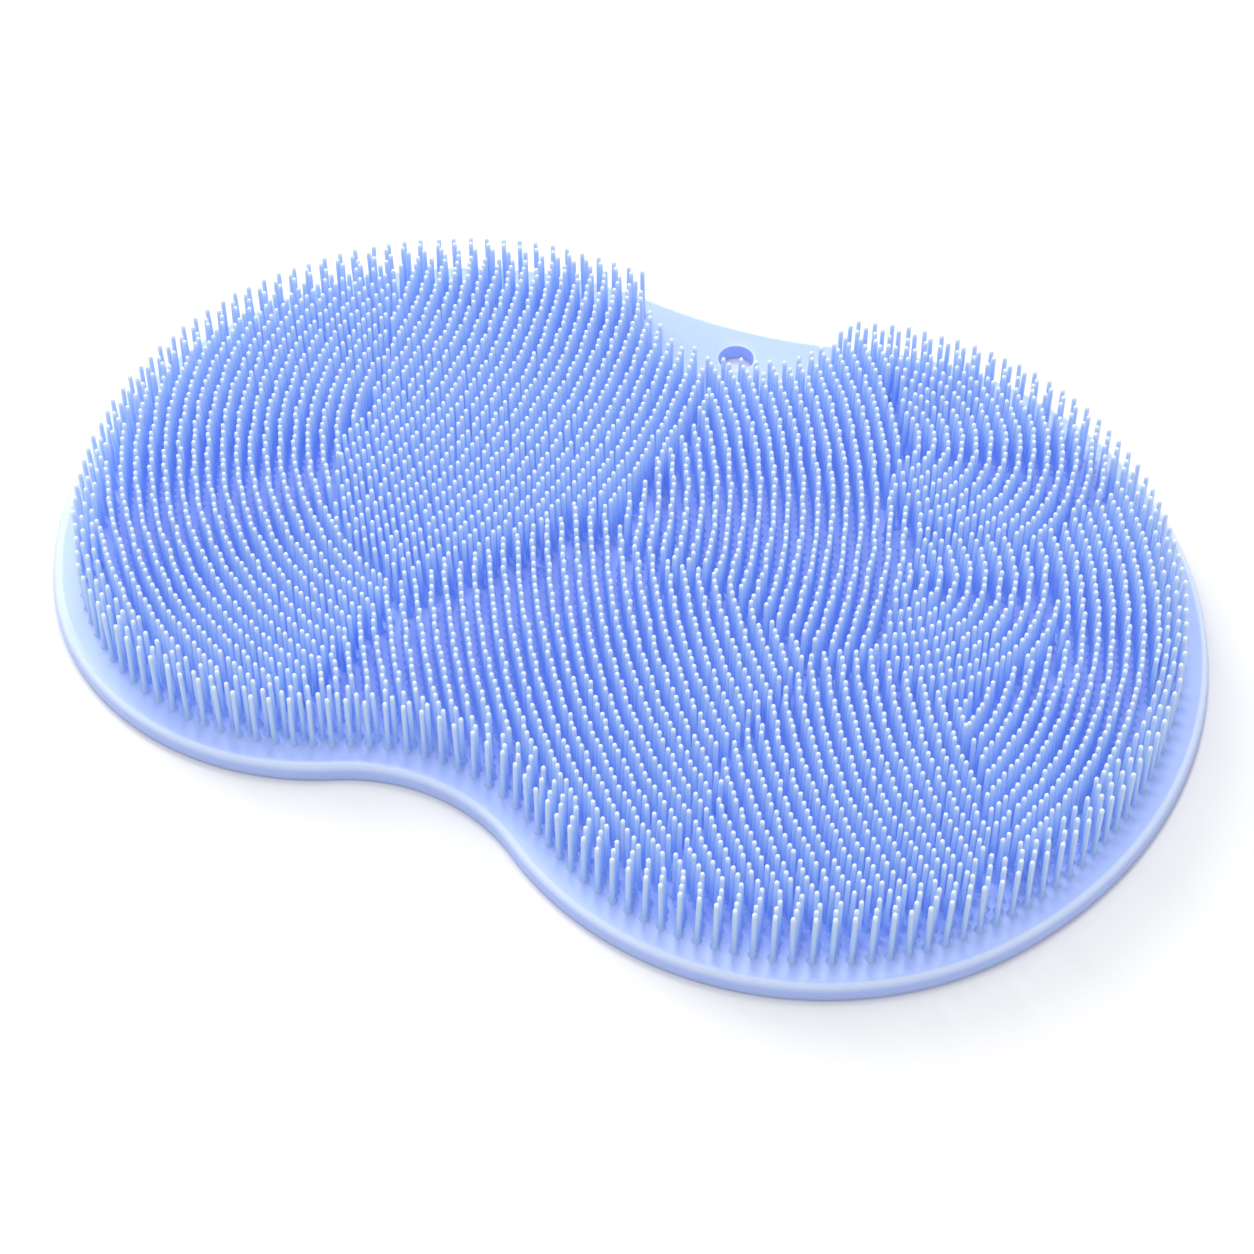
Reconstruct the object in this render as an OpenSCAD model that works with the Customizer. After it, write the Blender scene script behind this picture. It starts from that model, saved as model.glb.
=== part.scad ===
// Shower foot scrubber: one soft moulded pad with a two-lobed plate, a field of fine
// upright bristles, a hanging hole in its back waist and suction cups underneath.
// X runs along the pad's length, Y across it from front to back, Z up. Millimetres.

/* [Plate] */
// Overall thickness of the plate at its rim
plate_t = 4.8; // [4.2:0.1:6]
// Radius of the rounded upper edge
edge_r = 1.3; // [0.8:0.1:1.8]
// Width of the solid rim that frames the hollow underside
rim_w = 6; // [4.5:0.5:8]
// Depth of the hollow underside
hollow_depth = 2.2; // [1.6:0.1:2.6]

/* [Outline] */
// Radius of the right lobe's outer side
right_r = 116.5; // [112:0.5:120]
// Radius of the right lobe's front shoulder
right_front_r = 86; // [82:0.5:90]
// Radius of the right lobe's back shoulder
right_back_r = 91.5; // [88:0.5:95]
// Radius of the left lobe's back and side
left_r = 103.5; // [100:0.5:107]
// Radius of the left lobe's front shoulder
left_front_r = 72; // [68:0.5:76]
// Distance between the centres of the two lobes' sides, along the length
lobe_gap = 80; // [74:0.5:86]
// How far the left lobe lies in front of the right one
lobe_shift = 8; // [5:0.5:11]
// Radius of the hollow curve in the front waist
front_waist_r = 48; // [42:1:56]
// Radius of the hollow curve in the back waist
back_waist_r = 133; // [120:1:145]

/* [Hanging hole] */
// Diameter of the hanging hole
hole_d = 9.6; // [7:0.2:12]
// Distance of the hole's centre from the back edge of the waist
hole_inset = 12.5; // [10:0.5:15]
// Distance of the hole from the middle between the lobes' centres, along the length
hole_side = -3.3; // [-9:0.1:3]
// Width of the solid ring that surrounds the hole on the underside
hole_ring_w = 4; // [3:0.5:6]

/* [Bristles] */
// Height of a bristle above the plate
bristle_h = 16.6; // [14:0.2:19]
// Radius of a bristle
bristle_r = 0.64; // [0.5:0.01:0.8]
// Distance between neighbouring bristles along a row
bristle_pitch = 6.6; // [6.4:0.2:10]
// Distance between the curved rows
row_gap = 7.4; // [7:0.2:10]
// Distance between bristles in the two rows that follow the edge
edge_pitch = 7.4; // [7:0.2:10]
// Step of the plan on which the families of curved rows are placed
plan_step = 10; // [9.6:0.1:10.4]
// Bare margin between the plate's edge and the outermost bristles
margin = 7.8; // [6.5:0.1:10]
// Radius of the bare patch round the hanging hole
bare_r = 29.4; // [26:0.2:34]

/* [Suction cups] */
// Outer diameter of a suction cup's lip
cup_d = 13; // [10:0.5:16]
// Distance between neighbouring suction cups
cup_gap = 32; // [28:1:38]

/* [Hidden] */
$fn = 96;
bristle_sides = 16;
root = 0.4;
outline_step = 5;
edge_steps = 3;
bottom_clear = 1;
top_clear = 2;
bare_side = -2;

// Directions, from a lobe's side centre, in which its shoulders leave the side
front_shoulder_at = -32;
back_shoulder_at = 48;
left_shoulder_at = 217;

function dir(a) = [cos(a), sin(a)];
function angle_of(v) = atan2(v.y, v.x);

// An angle turned up by whole turns until it is no less than another
function after(a, start) = a < start ? after(a + 360, start) : a;

// Centre of the circle of radius r that touches two circles from outside, left of the line between them
function touching(c1, r1, c2, r2, r) =
    let (
        span = norm(c2 - c1),
        u = (c2 - c1) / span,
        along = ((r1 + r) ^ 2 - (r2 + r) ^ 2 + span ^ 2) / (2 * span),
        off = sqrt((r1 + r) ^ 2 - along ^ 2)
    )
    c1 + along * u + off * [-u.y, u.x];

// Centres of the arcs, first with the right lobe's side at the origin
right_c0 = [0, 0];
right_front_c0 = right_c0 + (right_r - right_front_r) * dir(front_shoulder_at);
right_back_c0 = right_c0 + (right_r - right_back_r) * dir(back_shoulder_at);
left_c0 = right_c0 - [lobe_gap, lobe_shift];
left_front_c0 = left_c0 + (left_r - left_front_r) * dir(left_shoulder_at);

// The plate's bounding box is centred on the origin
box_mid = [
    (right_c0.x + right_r + left_c0.x - left_r) / 2,
    (right_back_c0.y + right_back_r + right_front_c0.y - right_front_r) / 2
];
right_c = right_c0 - box_mid;
right_front_c = right_front_c0 - box_mid;
right_back_c = right_back_c0 - box_mid;
left_c = left_c0 - box_mid;
left_front_c = left_front_c0 - box_mid;
back_waist_c = touching(left_c, left_r, right_back_c, right_back_r, back_waist_r);
front_waist_c = touching(right_front_c, right_front_r, left_front_c, left_front_r, front_waist_r);

// Arcs of the outline, counterclockwise: centre, radius, start angle, end angle, 1 where it bulges out
function bulge(c, r, start, end) = [c, r, start, after(end, start), 1];
function hollow(c, r, start, end) = [c, r, start, after(end, start), -1];
OUTLINE = [
    bulge(right_front_c, right_front_r, angle_of(front_waist_c - right_front_c), front_shoulder_at),
    bulge(right_c, right_r, front_shoulder_at, back_shoulder_at),
    bulge(right_back_c, right_back_r, back_shoulder_at, angle_of(back_waist_c - right_back_c)),
    hollow(back_waist_c, back_waist_r, angle_of(left_c - back_waist_c), angle_of(right_back_c - back_waist_c)),
    bulge(left_c, left_r, angle_of(back_waist_c - left_c), left_shoulder_at),
    bulge(left_front_c, left_front_r, left_shoulder_at, angle_of(front_waist_c - left_front_c)),
    hollow(front_waist_c, front_waist_r, angle_of(right_front_c - front_waist_c), angle_of(left_front_c - front_waist_c))
];

// Distance of a point from the outline, more than zero inside it
function faces_arc(p, a) = after(angle_of(p - a[0]), a[2]) <= a[3];
function arc_depth(p, a) = a[4] * (a[1] - norm(p - a[0]));
function nearer(a, b) = abs(a) < abs(b) ? a : b;
function nearest(list, i = 0) = i == len(list) - 1 ? list[i] : nearer(list[i], nearest(list, i + 1));
function depth(p) = nearest([for (a = OUTLINE) if (faces_arc(p, a)) arc_depth(p, a)]);

// Point on an arc at an inset, a share of its way along; a hollow arc is walked from its end to its start
function on_arc(a, inset, share) =
    a[0] + (a[1] - a[4] * inset) * dir(a[4] > 0 ? a[2] + (a[3] - a[2]) * share : a[3] - (a[3] - a[2]) * share);

// Hanging hole, straight in front of the back waist's edge
hole_x = (left_c.x + right_c.x) / 2 + hole_side;
hole_y = back_waist_c.y - sqrt(back_waist_r ^ 2 - (hole_x - back_waist_c.x) ^ 2) - hole_inset;
hole_c = [hole_x, hole_y];
bare_c = hole_c + [bare_side, hole_inset];

// Families of curved rows, in steps of the plan: the centre of the arcs, then the points round which they lie.
// A bristle belongs to the family whose point is nearest, so families meet along straight seams.
ROWS = [
    [[-22.7, 1.5], [[-6.2, 3], [-2.4, 3], [-5.2, 7.2], [-4.8, -0.8]]],
    [[-2.5, 2.5], [[-11.2, 1.2], [-10.4, -3.2], [-7.4, -6.6]]],
    [[17, 9], [[-0.8, -3.4], [-2.2, -7.2], [3.4, -3.4], [3, -7.8]]],
    [[4.2, 5.6], [[7.6, 6], [5.8, 8.4]]],
    [[-9, -3], [[1.6, 2.6], [5, 1], [2.4, 6]]],
    [[6.2, 1.4], [[8.6, 1.4]]],
    [[2, -1.5], [[11.8, 4.4], [12.6, -0.6]]],
    [[20, 6], [[7.6, -4], [8, -8.4]]]
];
// Strip left bare where two families meet, and the share of a row gap left inside the edge rows
seam = 2.6;
edge_share = 0.6;
edge_rows = 2;
edge_row_gap = 3.4;
family_reach = 6.2 * plan_step;
FAMILIES = [for (f = ROWS) [f[0] * plan_step, [for (s = f[1]) s * plan_step]]];

POINTS = [for (k = [0 : len(FAMILIES) - 1]) for (s = FAMILIES[k][1]) [s, k]];
function best(p, k, same) = min([for (s = POINTS) if ((s[1] == k) == same) norm(p - s[0])]);
function in_family(p, k) = best(p, k, false) - best(p, k, true) > seam;
function clear_of_edge(p, inset) = depth(p) > inset && norm(p - bare_c) > bare_r;

inner_inset = margin + (edge_rows - 1) * edge_row_gap + row_gap * edge_share;
function row_points(k) =
    let (c = FAMILIES[k][0])
    [
        for (s = FAMILIES[k][1])
            let (far = norm(s - c), mid = angle_of(s - c))
            for (i = [ceil((far - family_reach) / row_gap) : floor((far + family_reach) / row_gap)])
                let (r = i * row_gap)
                if (r > row_gap)
                    let (
                        step = 360 / round(2 * PI * r / bristle_pitch),
                        half = r > family_reach ? asin(family_reach / r) : 180,
                        shift = (i % 2) / 2
                    )
                    for (j = [ceil((mid - half) / step) : floor((mid + half) / step) - (half == 180 ? 1 : 0)])
                        let (p = c + r * dir((j + shift) * step))
                        if (owner(p, FAMILIES[k][1]) == s && in_family(p, k) && clear_of_edge(p, inner_inset)) p
    ];
function owner(p, list) = [for (s = list) if (norm(p - s) == min([for (t = list) norm(p - t)])) s][0];

// Points along the outline at an inset, spaced evenly on each arc
function edge_points(inset, shift) =
    [
        for (a = OUTLINE)
            let (
                r = a[1] - a[4] * inset,
                count = round(r * (a[3] - a[2]) * PI / 180 / edge_pitch)
            )
            for (i = [0 : count - 1])
                let (p = on_arc(a, inset, (i + shift) / count))
                if (norm(p - bare_c) > bare_r) p
    ];
BRISTLES = concat(
    [for (i = [0 : edge_rows - 1]) each edge_points(margin + i * edge_row_gap, i / 2)],
    [for (k = [0 : len(FAMILIES) - 1]) each row_points(k)]
);

// Suction cups stand on a staggered grid inside the rim, clear of the hanging hole's ring
cup_lip = 0.5;
cup_root = 0.5;
cup_clear = 2;
cup_rows = 4;
cup_columns = 6;
cup_neck_r = cup_d / 4;
cup_crown_r = cup_d / 8;
cup_hollow = hollow_depth * 0.7;
cup_row = cup_gap * sqrt(3) / 2;
ring_r = hole_d / 2 + hole_ring_w;
CUPS = [
    for (j = [-cup_rows : cup_rows])
        for (i = [-cup_columns : cup_columns])
            let (p = [(i + abs(j % 2) / 2) * cup_gap, j * cup_row])
            if (depth(p) > rim_w + cup_d / 2 + cup_clear && norm(p - hole_c) > ring_r + cup_d / 2 + cup_clear) p
];

// The outline at an inset, as points on its arcs
function outline(inset) =
    [
        for (a = OUTLINE)
            let (count = ceil(a[1] * (a[3] - a[2]) * PI / 180 / outline_step))
            for (i = [0 : count - 1]) on_arc(a, inset, i / count)
    ];

// A slab with the outline's form, set in from it all round
module slab(inset, low, high) {
    translate([0, 0, low]) linear_extrude(high - low) polygon(outline(inset));
}

// The plate's outer form: rings of the outline, lofted round the upper edge
module rounded_slab() {
    levels = concat([[0, 0]], [
        for (i = [0 : edge_steps])
            let (turn = 90 * i / edge_steps)
            [edge_r * (1 - cos(turn)), plate_t - edge_r + edge_r * sin(turn)]
    ]);
    count = len(outline(0));
    rings = [for (l = levels) each [for (p = outline(l[0])) [p.x, p.y, l[1]]]];
    walls = [
        for (k = [0 : len(levels) - 2])
            for (i = [0 : count - 1])
                let (j = (i + 1) % count)
                [k * count + i, (k + 1) * count + i, (k + 1) * count + j, k * count + j]
    ];
    bottom = [for (i = [0 : count - 1]) i];
    top = [for (i = [0 : count - 1]) len(rings) - 1 - i];
    polyhedron(rings, concat([bottom], walls, [top]));
}

// One bristle: a slender round shaft, rooted in the plate
module bristle() {
    translate([0, 0, -root]) cylinder(r = bristle_r, h = bristle_h + root, $fn = bristle_sides);
}

// One suction cup: a flared skirt on a short neck, hollow below
module suction_cup() {
    rotate_extrude()
        polygon([
            [0, cup_hollow],
            [cup_crown_r, cup_hollow],
            [cup_d / 2 - cup_lip, 0],
            [cup_d / 2, 0],
            [cup_neck_r, hollow_depth],
            [cup_neck_r, hollow_depth + cup_root],
            [0, hollow_depth + cup_root]
        ]);
}

module plate() {
    difference() {
        rounded_slab();
        difference() {
            slab(rim_w, -bottom_clear, hollow_depth);
            translate([hole_c.x, hole_c.y, -top_clear]) cylinder(r = ring_r, h = plate_t);
        }
        translate([hole_c.x, hole_c.y, -bottom_clear]) cylinder(d = hole_d, h = plate_t + top_clear);
    }
}

module scrubber_pad() {
    color("cornflowerblue") {
        plate();
        for (p = CUPS) translate(p) suction_cup();
        for (p = BRISTLES) translate([p.x, p.y, plate_t]) bristle();
    }
}

scrubber_pad();
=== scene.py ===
import math

import bmesh
import bpy
import numpy as np
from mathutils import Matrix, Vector


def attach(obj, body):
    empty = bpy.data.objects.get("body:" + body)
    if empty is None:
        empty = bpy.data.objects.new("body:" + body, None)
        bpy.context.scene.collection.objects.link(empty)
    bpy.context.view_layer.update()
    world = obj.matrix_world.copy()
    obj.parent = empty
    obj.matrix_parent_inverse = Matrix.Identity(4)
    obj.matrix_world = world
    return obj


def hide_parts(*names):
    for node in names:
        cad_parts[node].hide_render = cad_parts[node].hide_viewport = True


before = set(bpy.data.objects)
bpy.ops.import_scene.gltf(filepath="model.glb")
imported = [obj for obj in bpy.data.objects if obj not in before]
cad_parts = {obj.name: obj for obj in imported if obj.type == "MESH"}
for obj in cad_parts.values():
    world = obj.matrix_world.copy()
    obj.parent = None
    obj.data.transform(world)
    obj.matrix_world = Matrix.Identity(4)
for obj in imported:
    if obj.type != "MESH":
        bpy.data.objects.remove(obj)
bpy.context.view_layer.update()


# The camera stands a little to the right of the front, well above the pad, as the photograph does.
# Its lens is long, so the pad shows hardly any perspective. Sizes are in millimetres up to the mesh.
MM = 0.001
VIEW_AZIMUTH = math.radians(27.14)
VIEW_ELEVATION = math.radians(49.15)
VIEW_DISTANCE = 770.9 * MM
VIEW_TARGET = Vector((6.08, -16.28, 0.0)) * MM
LENS_MM = 86.96
SENSOR_MM = 36.0
VIEW_END = 20.0


def add_camera():
    """A camera that looks at the target from its azimuth, elevation and distance."""
    data = bpy.data.cameras.new("camera")
    data.sensor_width = SENSOR_MM
    data.lens = LENS_MM
    data.clip_end = VIEW_END
    camera = bpy.data.objects.new("camera", data)
    bpy.context.scene.collection.objects.link(camera)
    back = Vector((
        math.sin(VIEW_AZIMUTH) * math.cos(VIEW_ELEVATION),
        -math.cos(VIEW_AZIMUTH) * math.cos(VIEW_ELEVATION),
        math.sin(VIEW_ELEVATION),
    ))
    camera.location = VIEW_TARGET + back * VIEW_DISTANCE
    camera.rotation_mode = "QUATERNION"
    camera.rotation_quaternion = (-back).to_track_quat("-Z", "Y")
    bpy.context.scene.camera = camera


add_camera()


# The plate is the flat body of the pad, moulded in one with the bristles from soft silicone.
# Its outline is two broad lobes and two hollow waists, all round arcs that run into each other.
# Its upper edge is rounded in the mould, and its underside is hollow inside a solid rim.
PAD_NODE = "scrubber_pad"
PLATE_T = 4.8
EDGE_R = 2.6
FOOT_EDGE_R = 0.5
RIM_W = 6.0
RIM_DRAFT = 0.5
HOLLOW_DEPTH = 2.2
RIGHT_R, RIGHT_FRONT_R, RIGHT_BACK_R = 116.5, 86.0, 91.5
LEFT_R, LEFT_FRONT_R = 103.5, 72.0
FRONT_WAIST_R, BACK_WAIST_R = 48.0, 133.0
LOBE_GAP, LOBE_SHIFT = 80.0, 8.0
FRONT_SHOULDER_AT, BACK_SHOULDER_AT, LEFT_SHOULDER_AT = -32.0, 48.0, 217.0
HOLE_R = 4.8
HOLE_EDGE_R = 0.5
HOLE_RING_W = 4.0
HOLE_INSET = 12.5
HOLE_SIDE = -3.3
OUTLINE_STEP = 1.2
HOLE_POINTS = 48
ROUND_STEPS = 8
SMALL_ROUND_STEPS = 3
FLAT_FROM = EDGE_R + FOOT_EDGE_R


def towards(degrees):
    """The unit direction at an angle in the plan."""
    return np.array([math.cos(math.radians(degrees)), math.sin(math.radians(degrees))])


def angle_of(v):
    """The angle in the plan at which a direction points."""
    return math.degrees(math.atan2(v[1], v[0]))


def touching(c1, r1, c2, r2, r):
    """Centre of the circle of radius r that touches two circles from outside."""
    span = np.linalg.norm(c2 - c1)
    u = (c2 - c1) / span
    along = ((r1 + r) ** 2 - (r2 + r) ** 2 + span**2) / (2 * span)
    off = math.sqrt((r1 + r) ** 2 - along**2)
    return c1 + along * u + off * np.array([-u[1], u[0]])


def arc(centre, radius, start, end, bulge):
    """One arc of the outline, from start up to end; bulge is 1 where it curves out, -1 where it is hollow."""
    while end < start:
        end += 360
    return centre, radius, start, end, bulge


def plate_arcs():
    """The outline's arcs, counterclockwise, with the plate's box centred on the origin."""
    right = np.zeros(2)
    right_front = right + (RIGHT_R - RIGHT_FRONT_R) * towards(FRONT_SHOULDER_AT)
    right_back = right + (RIGHT_R - RIGHT_BACK_R) * towards(BACK_SHOULDER_AT)
    left = right - np.array([LOBE_GAP, LOBE_SHIFT])
    left_front = left + (LEFT_R - LEFT_FRONT_R) * towards(LEFT_SHOULDER_AT)
    middle = np.array([
        (right[0] + RIGHT_R + left[0] - LEFT_R) / 2,
        (right_back[1] + RIGHT_BACK_R + right_front[1] - RIGHT_FRONT_R) / 2,
    ])
    right, right_front, right_back, left, left_front = (
        c - middle for c in (right, right_front, right_back, left, left_front)
    )
    back_waist = touching(left, LEFT_R, right_back, RIGHT_BACK_R, BACK_WAIST_R)
    front_waist = touching(right_front, RIGHT_FRONT_R, left_front, LEFT_FRONT_R, FRONT_WAIST_R)
    back_start, back_end = angle_of(left - back_waist), angle_of(right_back - back_waist)
    front_start, front_end = angle_of(right_front - front_waist), angle_of(left_front - front_waist)
    arcs = [
        arc(right_front, RIGHT_FRONT_R, angle_of(front_waist - right_front), FRONT_SHOULDER_AT, 1),
        arc(right, RIGHT_R, FRONT_SHOULDER_AT, BACK_SHOULDER_AT, 1),
        arc(right_back, RIGHT_BACK_R, BACK_SHOULDER_AT, angle_of(back_waist - right_back), 1),
        arc(back_waist, BACK_WAIST_R, back_start, back_end, -1),
        arc(left, LEFT_R, angle_of(back_waist - left), LEFT_SHOULDER_AT, 1),
        arc(left_front, LEFT_FRONT_R, LEFT_SHOULDER_AT, angle_of(front_waist - left_front), 1),
        arc(front_waist, FRONT_WAIST_R, front_start, front_end, -1),
    ]
    hole_x = (left[0] + right[0]) / 2 + HOLE_SIDE
    waist_edge = back_waist[1] - math.sqrt(BACK_WAIST_R**2 - (hole_x - back_waist[0]) ** 2)
    return arcs, np.array([hole_x, waist_edge - HOLE_INSET])


ARCS, HOLE_AT = plate_arcs()


def on_arc(a, inset, share):
    """A point on an arc at an inset, a share of its way along the outline."""
    centre, radius, start, end, bulge = a
    turn = start + (end - start) * share if bulge > 0 else end - (end - start) * share
    return centre + (radius - bulge * inset) * towards(turn)


def arc_length(a, inset):
    """How long an arc is at an inset."""
    return (a[1] - a[4] * inset) * math.radians(a[3] - a[2])


def outline(inset):
    """The plate's outline at an inset, as points in order."""
    return [
        on_arc(a, inset, i / count)
        for a in ARCS
        for count in [math.ceil(arc_length(a, 0) / OUTLINE_STEP)]
        for i in range(count)
    ]


def circle(radius):
    """A circle round the middle of the hanging hole, as points in order."""
    return [HOLE_AT + radius * towards(360 * i / HOLE_POINTS) for i in range(HOLE_POINTS)]


def ring(mesh, points, z):
    """Corners of the mesh on points at a height."""
    return [mesh.verts.new((p[0] * MM, p[1] * MM, z * MM)) for p in points]


def wall(mesh, low, high):
    """Faces between two rings, one after the other on the way out of the mould."""
    count = len(low)
    for i in range(count):
        j = (i + 1) % count
        mesh.faces.new((low[i], low[j], high[j], high[i]))


def floor_between(mesh, outer, inner):
    """A flat face from an outer ring to an inner one."""
    edges = [
        mesh.edges.get((corners[i], corners[(i + 1) % len(corners)]))
        for corners in (outer, inner)
        for i in range(len(corners))
    ]
    bmesh.ops.triangle_fill(mesh, use_beauty=True, use_dissolve=False, edges=edges)


def quarter(radius, steps):
    """A quarter turn: how far in and how far along at each step."""
    turns = [math.pi / 2 * i / steps for i in range(steps + 1)]
    return [(radius * (1 - math.cos(t)), radius * math.sin(t)) for t in turns]


def plate_mesh():
    """The plate as one closed shell: round the outside from the hollow to the top, then through the hole."""
    mesh = bmesh.new()
    foot_turn = reversed(quarter(FOOT_EDGE_R, SMALL_ROUND_STEPS))
    foot_round = [(inset, FOOT_EDGE_R - up) for inset, up in foot_turn]
    top_round = [(inset, PLATE_T - EDGE_R + up) for inset, up in quarter(EDGE_R, ROUND_STEPS)]
    outside = [(RIM_W + RIM_DRAFT, HOLLOW_DEPTH), (RIM_W, 0.0)] + foot_round + top_round
    outside.append((FLAT_FROM, PLATE_T))
    rings = [ring(mesh, outline(inset), z) for inset, z in outside]
    for low, high in zip(rings, rings[1:]):
        wall(mesh, low, high)
    bore_round = quarter(HOLE_EDGE_R, SMALL_ROUND_STEPS)
    ring_r = HOLE_R + HOLE_RING_W - RIM_DRAFT
    bore = [(ring_r + RIM_DRAFT / 2, HOLLOW_DEPTH), (ring_r, 0.0)]
    bore += [(HOLE_R + inset, HOLE_EDGE_R - up) for inset, up in reversed(bore_round)]
    bore += [(HOLE_R + inset, PLATE_T - HOLE_EDGE_R + up) for inset, up in bore_round]
    bore_rings = [ring(mesh, circle(radius), z) for radius, z in bore]
    for low, high in zip(bore_rings, bore_rings[1:]):
        wall(mesh, low, high)
    floor_between(mesh, rings[-1], bore_rings[-1])
    floor_between(mesh, rings[0], bore_rings[0])
    bmesh.ops.recalc_face_normals(mesh, faces=mesh.faces)
    return mesh


def add_piece(name, mesh, material):
    """A finished piece of the pad, moulded in one with the rest and standing for the pad's solid."""
    data = bpy.data.meshes.new(name)
    mesh.to_mesh(data)
    mesh.free()
    piece = bpy.data.objects.new(name, data)
    bpy.context.scene.collection.objects.link(piece)
    data.shade_smooth()
    data.materials.append(material)
    return piece


class Wire:
    """A number that leaves a node: an expression on wires adds its Math nodes."""

    def __init__(self, graph, socket):
        self.graph = graph
        self.socket = socket

    def math(self, operation, *values):
        node = self.graph.add("ShaderNodeMath", {"operation": operation}, dict(enumerate(values)))
        return Wire(self.graph, node.outputs[0])

    def __add__(self, other):
        return self.math("ADD", self, other)

    def __radd__(self, other):
        return self.math("ADD", other, self)

    def __sub__(self, other):
        return self.math("SUBTRACT", self, other)

    def __rsub__(self, other):
        return self.math("SUBTRACT", other, self)

    def __mul__(self, other):
        return self.math("MULTIPLY", self, other)

    def __rmul__(self, other):
        return self.math("MULTIPLY", other, self)

    def __truediv__(self, other):
        return self.math("DIVIDE", self, other)

    def clamped(self):
        return self.math("MINIMUM", self.math("MAXIMUM", self, 0.0), 1.0)


class Graph:
    """A node tree that is being written."""

    def __init__(self, tree):
        self.tree = tree

    def add(self, kind, settings=None, values=None):
        """A node of a kind, its settings, then the values or links of its sockets."""
        node = self.tree.nodes.new(kind)
        for name, setting in (settings or {}).items():
            setattr(node, name, setting)
        for name, value in (values or {}).items():
            if isinstance(value, Wire):
                self.tree.links.new(value.socket, node.inputs[name])
            else:
                node.inputs[name].default_value = value
        return node

    def out(self, node, name=0):
        return Wire(self, node.outputs[name])


# The silicone's colours (the last is a painted highlight for the rounded edges), then how deep light goes into
# it, its gloss, its cloudy spots and its fine grain.
SILICONE_DEEP = (0.385, 0.51, 1.0, 1.0)
SILICONE_PALE = (0.47, 0.585, 1.0, 1.0)
SILICONE_EDGE_HIGHLIGHT = (0.82, 0.90, 1.0, 1.0)
SILICONE_RADIUS = (0.35, 0.55, 1.6)
SILICONE_REACH = 1.6
SILICONE_IOR = 1.43
SILICONE_GLOSS = 0.3
GLOSS_SPREAD = 0.08
SPOT_SCALE, SPOT_DETAIL = 60.0, 2.0
GRAIN_SCALE, GRAIN_DETAIL = 900.0, 3.0
GRAIN_DEPTH = 0.05
PLATE_GRAIN = 0.2
PLATE_DEPTH_SHARE = 0.4
PALE_BASE, PALE_SPOTS = 0.55, 0.3

# The painted highlight on the rounded edges: how far a face turns up where the pale band begins and where it
# ends, and how much paler it is.
CREST_HIGHLIGHT_FROM, CREST_HIGHLIGHT_RISE = 0.3, 2.2
CREST_HIGHLIGHT_END, CREST_HIGHLIGHT_FALL = 0.99, 14.0
CREST_HIGHLIGHT_SHARE = 0.55


def silicone(name, colour_of, grain, depth_share):
    """Soft silicone with a satin skin; depth_share is how much of its light comes from inside it."""
    material = bpy.data.materials.new(name)
    material.use_nodes = True
    material.node_tree.nodes.clear()
    g = Graph(material.node_tree)
    place = g.out(g.add("ShaderNodeTexCoord"), "Object")
    spots = g.out(g.add("ShaderNodeTexNoise", None, {
        "Vector": place, "Scale": SPOT_SCALE, "Detail": SPOT_DETAIL,
    }))
    skin = g.out(g.add("ShaderNodeTexNoise", None, {
        "Vector": place, "Scale": GRAIN_SCALE, "Detail": GRAIN_DETAIL,
    }))
    bump = g.out(g.add("ShaderNodeBump", None, {
        "Strength": grain, "Distance": GRAIN_DEPTH * MM, "Height": skin,
    }))
    shader = g.add("ShaderNodeBsdfPrincipled", None, {
        "Base Color": colour_of(g, place, spots),
        "Roughness": SILICONE_GLOSS + (spots - 0.5) * GLOSS_SPREAD,
        "IOR": SILICONE_IOR,
        "Subsurface Weight": depth_share,
        "Subsurface Radius": SILICONE_RADIUS,
        "Subsurface Scale": SILICONE_REACH * MM,
        "Normal": bump,
    })
    g.add("ShaderNodeOutputMaterial", None, {"Surface": g.out(shader)})
    return material


def between(g, share, first, second):
    """A colour that goes from the first to the second as share goes from 0 to 1."""
    mix = g.add("ShaderNodeMix", {"data_type": "RGBA"}, {"Factor": share})
    for socket, colour in ((6, first), (7, second)):
        if isinstance(colour, Wire):
            g.tree.links.new(colour.socket, mix.inputs[socket])
        else:
            mix.inputs[socket].default_value = colour
    return Wire(g, mix.outputs[2])


def plate_colour_with_painted_highlight(g, place, spots):
    """One blue, with a painted highlight: paler along the rounded edges of the crest and the hole, in place of
    the lamps' gloss on them.
    """
    flat = between(g, (spots * PALE_SPOTS + PALE_BASE).clamped(), SILICONE_DEEP, SILICONE_PALE)
    normal = g.out(g.add("ShaderNodeNewGeometry"), "Normal")
    upward = g.out(g.add("ShaderNodeSeparateXYZ", None, {"Vector": normal}), "Z")
    # Painted highlight: faces on the rounded edges, between the side and the flat top, are mixed towards a pale
    # colour.
    highlight_above_side = ((upward - CREST_HIGHLIGHT_FROM) * CREST_HIGHLIGHT_RISE).clamped()
    highlight_off_flat = ((CREST_HIGHLIGHT_END - upward) * CREST_HIGHLIGHT_FALL).clamped()
    return between(g, highlight_above_side * highlight_off_flat * CREST_HIGHLIGHT_SHARE, flat, SILICONE_EDGE_HIGHLIGHT)


plate_silicone = silicone("plate_silicone", plate_colour_with_painted_highlight, PLATE_GRAIN, PLATE_DEPTH_SHARE)
plate = add_piece("plate", plate_mesh(), plate_silicone)
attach(plate, "root")
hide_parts(PAD_NODE)


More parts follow.
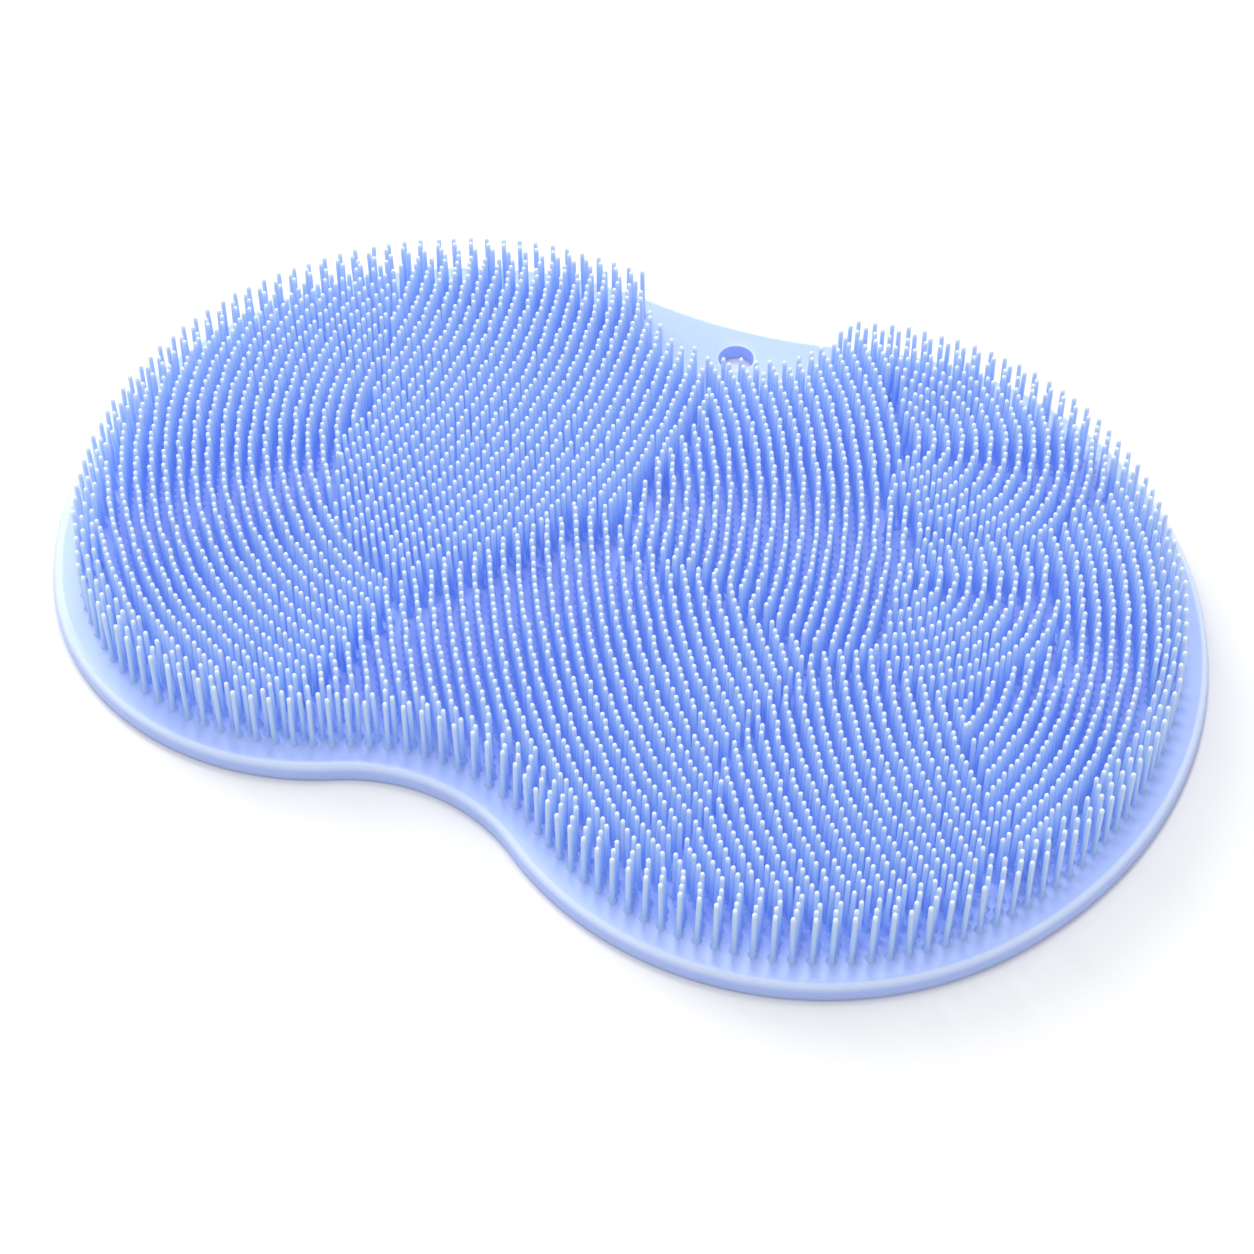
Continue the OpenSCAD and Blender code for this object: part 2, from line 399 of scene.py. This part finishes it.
# The bristles are slender tapered silicone pins with flared feet and rounded tips, moulded on the plate.
# Three staggered rows follow the edge, and inside them families of curved rows meet along seams, like the
# ridges of a fingerprint. A patch round the hanging hole stays bare.
BRISTLE_H = 16.6
BRISTLE_FOOT_R, BRISTLE_FOOT_H = 1.3, 1.5
BRISTLE_SHAFT_R = 0.71
BRISTLE_TIP_R = 0.60
BRISTLE_ROOT = 0.4
BRISTLE_FLARE_SHARE, BRISTLE_FLARE_AT = 0.25, 0.3
BRISTLE_DOME = ((0.78, 0.38), (0.36, 0.07))
BRISTLE_SIDES = 8
BRISTLE_LEAN = math.radians(1.3)
BRISTLE_PITCH, ROW_GAP = 2.5, 3.7
EDGE_PITCH, EDGE_ROW_GAP, EDGE_ROWS = 4.6, 2.2, 3
MARGIN = 7.8
EDGE_SHARE = 0.4
SEAM = 0.6
BARE_R, BARE_SIDE = 29.4, -2.0
FAMILY_REACH = 62.0
FEWEST_ROWS = 2
FAR = 1e9
BARE_AT = HOLE_AT + np.array([BARE_SIDE, HOLE_INSET])

# Families of curved rows: the centre of the arcs, then the points round which the family lies.
ROW_FAMILIES = [
    ((-227, 15), ((-62, 30), (-24, 30), (-52, 72), (-48, -8))),
    ((-25, 25), ((-112, 12), (-104, -32), (-74, -66))),
    ((170, 90), ((-8, -34), (-22, -72), (34, -34), (30, -78))),
    ((42, 56), ((76, 60), (58, 84))),
    ((-90, -30), ((16, 26), (50, 10), (24, 60))),
    ((62, 14), ((86, 14),)),
    ((20, -15), ((118, 44), (126, -6))),
    ((200, 60), ((76, -40), (80, -84))),
]
SEEDS = np.array([seed for _, seeds in ROW_FAMILIES for seed in seeds], float)
SEED_FAMILY = np.array([k for k, (_, seeds) in enumerate(ROW_FAMILIES) for _ in seeds])


def depth(points):
    """How far inside the outline each point lies: the signed distance to its nearest arc."""
    best = np.full(len(points), FAR)
    for centre, radius, start, end, bulge in ARCS:
        away = points - centre
        turn = (np.degrees(np.arctan2(away[:, 1], away[:, 0])) - start) % 360
        gap = bulge * (radius - np.linalg.norm(away, axis=1))
        closer = (turn <= end - start) & (np.abs(gap) < np.abs(best))
        best[closer] = gap[closer]
    return best


def row_points(family):
    """Points on one family's arcs, staggered from row to row, where that family is the nearest one."""
    centre = np.array(ROW_FAMILIES[family][0], float)
    own = SEEDS[SEED_FAMILY == family]
    far = np.linalg.norm(own - centre, axis=1)
    first_row = max(FEWEST_ROWS, math.ceil((far.min() - FAMILY_REACH) / ROW_GAP))
    last_row = int((far.max() + FAMILY_REACH) // ROW_GAP)
    points = []
    for row in range(first_row, last_row + 1):
        radius = row * ROW_GAP
        count = round(2 * math.pi * radius / BRISTLE_PITCH)
        turns = (np.arange(count) + (row % 2) / 2) * 2 * math.pi / count
        points.append(centre + radius * np.stack([np.cos(turns), np.sin(turns)], axis=1))
    points = np.concatenate(points)
    away = np.linalg.norm(points[:, None] - SEEDS[None], axis=2)
    to_own = away[:, SEED_FAMILY == family].min(axis=1)
    to_other = away[:, SEED_FAMILY != family].min(axis=1)
    inner_inset = MARGIN + (EDGE_ROWS - 1) * EDGE_ROW_GAP + ROW_GAP * EDGE_SHARE
    in_family = (to_other - to_own > SEAM) & (to_own < FAMILY_REACH)
    return points[in_family & (depth(points) > inner_inset) & clear_of_hole(points)]


def clear_of_hole(points):
    """Which points lie outside the bare patch."""
    return np.linalg.norm(points - BARE_AT, axis=1) > BARE_R


def edge_points():
    """Points of the rows that follow the outline, each row staggered from the one before."""
    points = []
    for row in range(EDGE_ROWS):
        inset = MARGIN + row * EDGE_ROW_GAP
        for a in ARCS:
            count = round(arc_length(a, inset) / EDGE_PITCH)
            points += [on_arc(a, inset, (i + row / 2) / count) for i in range(count)]
    points = np.array(points)
    return points[clear_of_hole(points)]


BRISTLE_INPUTS = {
    "Height": BRISTLE_H * MM,
    "Root": BRISTLE_ROOT * MM,
    "Foot radius": BRISTLE_FOOT_R * MM,
    "Foot height": BRISTLE_FOOT_H * MM,
    "Shaft radius": BRISTLE_SHAFT_R * MM,
    "Tip radius": BRISTLE_TIP_R * MM,
    "Lean": BRISTLE_LEAN,
}


def bristle_profile(size):
    """Half of a bristle's section, from its root up to its tip: radius and height at each corner."""
    height, foot, foot_h = size["Height"], size["Foot radius"], size["Foot height"]
    shaft, tip = size["Shaft radius"], size["Tip radius"]
    flare = foot * BRISTLE_FLARE_SHARE + shaft * (1 - BRISTLE_FLARE_SHARE)
    dome = [(tip * out, height - tip * down) for out, down in BRISTLE_DOME]
    return [
        (0.0, 0.0 - size["Root"]),
        (foot, 0.0 - size["Root"]),
        (foot, 0.0),
        (flare, foot_h * BRISTLE_FLARE_AT),
        (shaft, foot_h),
        (tip, height - tip),
        *dome,
        (0.0, height),
    ]


# In metres: the ring that a section turns round, and the gap under which corners on the axis are joined.
RAIL_R = 1e-6
POLE_GAP = 5e-6


def turned_tree(name, inputs, profile):
    """A tree that sets a turned form on every point: its profile goes once round, and each leans a little."""
    tree = bpy.data.node_groups.new(name, "GeometryNodeTree")
    tree.is_modifier = True
    tree.interface.new_socket("Points", in_out="INPUT", socket_type="NodeSocketGeometry")
    for label in inputs:
        tree.interface.new_socket(label, in_out="INPUT", socket_type="NodeSocketFloat")
    tree.interface.new_socket("Sides", in_out="INPUT", socket_type="NodeSocketInt")
    tree.interface.new_socket("Seed", in_out="INPUT", socket_type="NodeSocketInt")
    tree.interface.new_socket("Material", in_out="INPUT", socket_type="NodeSocketMaterial")
    tree.interface.new_socket("Pad", in_out="OUTPUT", socket_type="NodeSocketGeometry")
    g = Graph(tree)
    given = g.add("NodeGroupInput")
    size = {label: g.out(given, label) for label in inputs}
    corners = profile(size)
    line = g.add("GeometryNodeCurvePrimitiveLine", None, {"End": (1.0, 0.0, 0.0)})
    section = g.add("GeometryNodeResampleCurve", None, {"Curve": g.out(line), "Count": len(corners)})
    choose = g.add("GeometryNodeIndexSwitch", {"data_type": "VECTOR"})
    for _ in range(len(corners) - 2):
        choose.index_switch_items.new()
    g.tree.links.new(g.out(g.add("GeometryNodeInputIndex")).socket, choose.inputs[0])
    for i, (radius, height) in enumerate(corners):
        corner = g.add("ShaderNodeCombineXYZ", None, {"X": radius, "Y": height * -1.0})
        g.tree.links.new(corner.outputs[0], choose.inputs[i + 1])
    shaped = g.add("GeometryNodeSetPosition", None, {
        "Geometry": g.out(section), "Position": g.out(choose),
    })
    rail = g.add("GeometryNodeCurvePrimitiveCircle", None, {
        "Resolution": g.out(given, "Sides"), "Radius": RAIL_R,
    })
    upright = g.add("GeometryNodeSetCurveNormal", {"mode": "Z_UP"}, {"Curve": g.out(rail)})
    turned = g.add("GeometryNodeCurveToMesh", None, {
        "Curve": g.out(upright), "Profile Curve": g.out(shaped),
    })
    closed = g.add("GeometryNodeMergeByDistance", None, {"Geometry": g.out(turned), "Distance": POLE_GAP})
    outward = g.add("GeometryNodeFlipFaces", None, {"Mesh": g.out(closed)})
    smooth = g.add("GeometryNodeSetShadeSmooth", None, {"Geometry": g.out(outward)})
    lean = size["Lean"]
    tilt = g.add("FunctionNodeRandomValue", {"data_type": "FLOAT_VECTOR"}, {
        "Seed": g.out(given, "Seed"),
    })
    low = g.add("ShaderNodeCombineXYZ", None, {"X": 0.0 - lean, "Y": 0.0 - lean, "Z": 0.0})
    high = g.add("ShaderNodeCombineXYZ", None, {"X": lean, "Y": lean, "Z": 2 * math.pi})
    g.tree.links.new(low.outputs[0], tilt.inputs[0])
    g.tree.links.new(high.outputs[0], tilt.inputs[1])
    placed = g.add("GeometryNodeInstanceOnPoints", None, {
        "Points": g.out(given, "Points"), "Instance": g.out(smooth), "Rotation": g.out(tilt),
    })
    real = g.add("GeometryNodeRealizeInstances", None, {"Geometry": g.out(placed)})
    finished = g.add("GeometryNodeSetMaterial", None, {
        "Geometry": g.out(real), "Material": g.out(given, "Material"),
    })
    g.add("NodeGroupOutput", None, {"Pad": g.out(finished)})
    return tree


def grow(name, tree, points, z, inputs, sides, seed, material):
    """A piece of turned forms on points at a height, as a plain mesh."""
    seats = bpy.data.meshes.new(name + "_seats")
    seats.from_pydata([(x * MM, y * MM, z * MM) for x, y in points], [], [])
    source = bpy.data.objects.new(name + "_seats", seats)
    bpy.context.scene.collection.objects.link(source)
    grower = source.modifiers.new("grow", "NODES")
    grower.node_group = tree
    given = dict(inputs, Sides=sides, Seed=seed, Material=material)
    for item in tree.interface.items_tree:
        if item.item_type == "SOCKET" and item.in_out == "INPUT" and item.name in given:
            grower[item.identifier] = given[item.name]
    evaluated = source.evaluated_get(bpy.context.evaluated_depsgraph_get())
    data = bpy.data.meshes.new_from_object(evaluated)
    data.name = name
    piece = bpy.data.objects.new(name, data)
    bpy.context.scene.collection.objects.link(piece)
    bpy.data.objects.remove(source)
    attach(piece, "root")
    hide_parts(PAD_NODE)
    return piece


# The bristles' colours: the foot's is painted shade, the top's is the plain blue, the tip's is a painted
# highlight.
BRISTLE_FOOT_SHADE = (0.46, 0.64, 0.98, 1.0)
BRISTLE_TOP_COLOUR = (0.62, 0.77, 1.0, 1.0)
BRISTLE_TIP_HIGHLIGHT = (0.88, 0.96, 1.0, 1.0)
TIP_HIGHLIGHT_FROM, TIP_HIGHLIGHT_RISE, TIP_HIGHLIGHT_SHARE = 0.91, 14.0, 0.9
BRISTLE_GRAIN = 0.1
BRISTLE_DEPTH_SHARE = 0.0


def bristle_painted_light_colour(g, place, spots):
    """Painted light: deeper blue towards the foot as painted shade of the crowded field, paler towards the top,
    and a painted highlight on the rounded tip.
    """
    height = g.out(g.add("ShaderNodeSeparateXYZ", None, {"Vector": place}), "Z")
    up = ((height - PLATE_T * MM) / (BRISTLE_H * MM)).clamped()
    # Painted shade: the shaft's colour goes deeper from the top down to the foot.
    shaft = between(g, up, BRISTLE_FOOT_SHADE, BRISTLE_TOP_COLOUR)
    # Painted highlight: the topmost part of each bristle, its rounded tip, is mixed towards near white.
    tip = ((up - TIP_HIGHLIGHT_FROM) * TIP_HIGHLIGHT_RISE).clamped()
    return between(g, tip * TIP_HIGHLIGHT_SHARE, shaft, BRISTLE_TIP_HIGHLIGHT)


bristle_silicone = silicone("bristle_silicone", bristle_painted_light_colour, BRISTLE_GRAIN, BRISTLE_DEPTH_SHARE)
bristle_tree = turned_tree("bristle field", BRISTLE_INPUTS, bristle_profile)
inner_points = np.concatenate([row_points(k) for k in range(len(ROW_FAMILIES))])
FIELD_SPLITS = (-200.0, -48.0, 34.0, 200.0)
FIELD_NAMES = ("bristles_left", "bristles_waist", "bristles_right")
fields = [("bristles_edge", edge_points())]
for field_name, start_x, end_x in zip(FIELD_NAMES, FIELD_SPLITS, FIELD_SPLITS[1:]):
    inside = (inner_points[:, 0] >= start_x) & (inner_points[:, 0] < end_x)
    fields.append((field_name, inner_points[inside]))
for seed, (field_name, field_points) in enumerate(fields):
    grow(field_name, bristle_tree, field_points, PLATE_T, BRISTLE_INPUTS, BRISTLE_SIDES, seed, bristle_silicone)


# The suction cups hold the pad on a wet floor. They hang from the hollow underside on short necks,
# moulded in one with it, and their thin lips end flush with the rim.
CUP_R = 6.5
CUP_LIP = 0.5
CUP_NECK_R = 3.25
CUP_CROWN_R = 1.6
CUP_HOLLOW = 1.54
CUP_CROWN_SHARE = 0.97
CUP_INNER_OUT, CUP_INNER_UP = 0.7, 0.5
CUP_LIP_IN, CUP_LIP_UP = 0.02, 0.12
CUP_BACK_SHARE, CUP_BACK_UP = 0.75, 0.4
CUP_NECK_UP = 0.8
CUP_GAP = 32.0
CUP_ROOT = 0.4
CUP_CLEAR = 2.0
CUP_ROWS, CUP_COLUMNS = 4, 6
CUP_SIDES = 32
CUP_INPUTS = {
    "Lip radius": CUP_R * MM,
    "Neck radius": CUP_NECK_R * MM,
    "Depth": HOLLOW_DEPTH * MM,
    "Lean": 0.0,
}


def cup_profile(size):
    """Half of a cup's section, from its hollow crown down round the lip and up to its neck."""
    lip, neck, depth_up = size["Lip radius"], size["Neck radius"], size["Depth"]
    return [
        (0.0, CUP_HOLLOW * MM),
        (CUP_CROWN_R * MM, CUP_HOLLOW * CUP_CROWN_SHARE * MM),
        (lip * CUP_INNER_OUT, CUP_HOLLOW * CUP_INNER_UP * MM),
        (lip - CUP_LIP * MM, CUP_LIP_IN * MM),
        (lip - CUP_LIP / 2 * MM, 0.0),
        (lip, CUP_LIP_UP * MM),
        (lip * CUP_BACK_SHARE + neck * (1 - CUP_BACK_SHARE), depth_up * CUP_BACK_UP),
        (neck, depth_up * CUP_NECK_UP),
        (neck, depth_up + CUP_ROOT * MM),
        (0.0, depth_up + CUP_ROOT * MM),
    ]


def cup_points():
    """A staggered grid inside the rim, clear of the hanging hole's ring."""
    row_step = CUP_GAP * math.sqrt(3) / 2
    grid = np.array([
        ((i + (j % 2) / 2) * CUP_GAP, j * row_step)
        for j in range(-CUP_ROWS, CUP_ROWS + 1)
        for i in range(-CUP_COLUMNS, CUP_COLUMNS + 1)
    ])
    room = depth(grid) > RIM_W + CUP_R + CUP_CLEAR
    ring_reach = HOLE_R + HOLE_RING_W + CUP_R + CUP_CLEAR
    return grid[room & (np.linalg.norm(grid - HOLE_AT, axis=1) > ring_reach)]


cup_tree = turned_tree("suction cups", CUP_INPUTS, cup_profile)
grow("suction_cups", cup_tree, cup_points(), 0.0, CUP_INPUTS, CUP_SIDES, 0, plate_silicone)


# The floor is a plain white sheet. A soft lamp to the left, one behind and a smaller one overhead light
# the pad in a white room, so that its shadow falls to the front and right. The camera sees the room white.
FLOOR_SIZE = 8.0
FLOOR_DROP = 0.02 * MM
FLOOR_COLOUR = (0.81, 0.81, 0.815, 1.0)
FLOOR_NEAR, FLOOR_FAR = 0.38, 0.9
WHITE = (1.0, 1.0, 1.0, 1.0)
ROOM_STRENGTH = 0.66
LEFT_LAMP_POWER, LEFT_LAMP_SIZE = 24.0, 0.9
LEFT_LAMP_AT = Vector((-1.65, 0.9, 1.5))
BACK_LAMP_POWER, BACK_LAMP_SIZE = 18.5, 0.8
BACK_LAMP_AT = Vector((-0.45, 1.0, 2.3))
TOP_LAMP_POWER, TOP_LAMP_SIZE = 9.0, 0.4
TOP_LAMP_AT = Vector((-0.35, 0.0, 2.2))
LIGHT_BOUNCES = 12
OTHER_BOUNCES = 4


def seen_directly(g):
    """1 on what the camera sees, by itself or in a gloss, and 0 on what only lights the pad."""
    path = g.add("ShaderNodeLightPath")
    return g.out(path).math("MAXIMUM", g.out(path, "Is Camera Ray"), g.out(path, "Is Glossy Ray"))


def add_floor():
    """The sheet, which turns plain white well away from the pad and its shadow."""
    mesh = bmesh.new()
    half = FLOOR_SIZE / 2
    around = ((-half, -half), (half, -half), (half, half), (-half, half))
    mesh.faces.new([mesh.verts.new((x, y, -FLOOR_DROP)) for x, y in around])
    material = bpy.data.materials.new("floor_sheet")
    material.use_nodes = True
    material.node_tree.nodes.clear()
    g = Graph(material.node_tree)
    paper = g.add("ShaderNodeBsdfDiffuse", None, {"Color": FLOOR_COLOUR})
    white = g.add("ShaderNodeEmission", None, {"Color": WHITE, "Strength": 1.0})
    place = g.out(g.add("ShaderNodeTexCoord"), "Object")
    away = g.out(g.add("ShaderNodeVectorMath", {"operation": "LENGTH"}, {"Vector": place}), "Value")
    far = ((away - FLOOR_NEAR) / (FLOOR_FAR - FLOOR_NEAR)).clamped()
    sheet = g.add("ShaderNodeMixShader", None, {
        0: far * seen_directly(g), 1: g.out(paper), 2: g.out(white),
    })
    g.add("ShaderNodeOutputMaterial", None, {"Surface": g.out(sheet)})
    data = bpy.data.meshes.new("floor")
    mesh.to_mesh(data)
    mesh.free()
    data.materials.append(material)
    floor = bpy.data.objects.new("floor", data)
    bpy.context.scene.collection.objects.link(floor)


def add_lamp(name, at, power, size):
    """A round soft lamp that faces the middle of the pad."""
    data = bpy.data.lights.new(name, "AREA")
    data.shape = "DISK"
    data.size = size
    data.energy = power
    lamp = bpy.data.objects.new(name, data)
    lamp.location = at
    lamp.rotation_mode = "QUATERNION"
    lamp.rotation_quaternion = (-at).to_track_quat("-Z", "Y")
    bpy.context.scene.collection.objects.link(lamp)


def add_room():
    """A white room all round."""
    world = bpy.data.worlds.new("room")
    bpy.context.scene.world = world
    world.use_nodes = True
    world.node_tree.nodes.clear()
    g = Graph(world.node_tree)
    strength = seen_directly(g) * (1.0 - ROOM_STRENGTH) + ROOM_STRENGTH
    light = g.add("ShaderNodeBackground", None, {"Color": WHITE, "Strength": strength})
    g.add("ShaderNodeOutputWorld", None, {"Surface": g.out(light)})


add_floor()
add_lamp("left_lamp", LEFT_LAMP_AT, LEFT_LAMP_POWER, LEFT_LAMP_SIZE)
add_lamp("back_lamp", BACK_LAMP_AT, BACK_LAMP_POWER, BACK_LAMP_SIZE)
add_lamp("top_lamp", TOP_LAMP_AT, TOP_LAMP_POWER, TOP_LAMP_SIZE)
add_room()

# Light goes from bristle to bristle many times before it leaves the field, and turns bluer on the way,
# so the softly reflected light gets more bounces than Blender gives it by itself.
bpy.context.scene.cycles.diffuse_bounces = LIGHT_BOUNCES
bpy.context.scene.cycles.max_bounces = LIGHT_BOUNCES + OTHER_BOUNCES
bpy.context.scene.view_settings.view_transform = "Standard"
